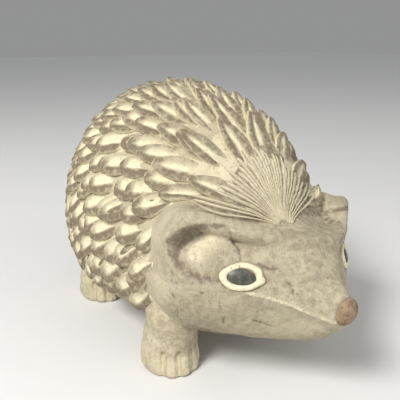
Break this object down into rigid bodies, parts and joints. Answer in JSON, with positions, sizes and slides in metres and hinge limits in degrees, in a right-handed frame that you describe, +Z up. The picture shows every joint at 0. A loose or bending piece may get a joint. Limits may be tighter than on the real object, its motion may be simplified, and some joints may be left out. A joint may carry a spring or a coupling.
{
  "type": "hedgehog figurine",
  "caption": "Hollow clay hedgehog ornament with carved leaf-shaped quills, scooped ears, inlaid eyes and four stub feet; it stands on its soles.",
  "frame": {"origin": "on the ground plane under the middle of the figure", "axes": "+Z up, the snout points along -Y, the animal's left side is +X"},
  "size_m": [0.1256, 0.22, 0.1301],
  "materials": {
    "skin_clay": "matte, speckled, washed with pale slip",
    "quill_clay": "matte, brown-grey rims over cream hollows",
    "foot_clay": "matte, speckled, cream in the toe grooves",
    "eye_slip": "matte cream slip",
    "pupil_glaze": "dark, slightly glossy",
    "nose_clay": "matte, chipped to the red-brown body clay"
  },
  "bodies": {
    "root": {"back_shell": "skin_clay", "belly_shell": "foot_clay", "forehead_comb": "quill_clay", "front_left_leg": "foot_clay", "front_right_leg": "foot_clay", "head_shell": "skin_clay", "left_ear": "skin_clay", "left_eye_rim": "eye_slip", "left_pupil": "pupil_glaze", "nose_tip": "nose_clay", "quill_ring_01": "quill_clay", "quill_ring_02": "quill_clay", "quill_ring_03": "quill_clay", "quill_ring_04": "quill_clay", "quill_ring_05": "quill_clay", "quill_ring_06": "quill_clay", "quill_ring_07": "quill_clay", "quill_ring_08": "quill_clay", "quill_ring_09": "quill_clay", "quill_ring_10": "quill_clay", "quill_ring_11": "quill_clay", "quill_ring_12": "quill_clay", "quill_ring_13": "quill_clay", "quill_ring_14": "quill_clay", "quill_ring_15": "quill_clay", "quill_ring_16": "quill_clay", "rear_left_leg": "foot_clay", "rear_right_leg": "foot_clay", "right_ear": "skin_clay", "right_eye_rim": "eye_slip", "right_pupil": "pupil_glaze"}
  },
  "joints": []
}
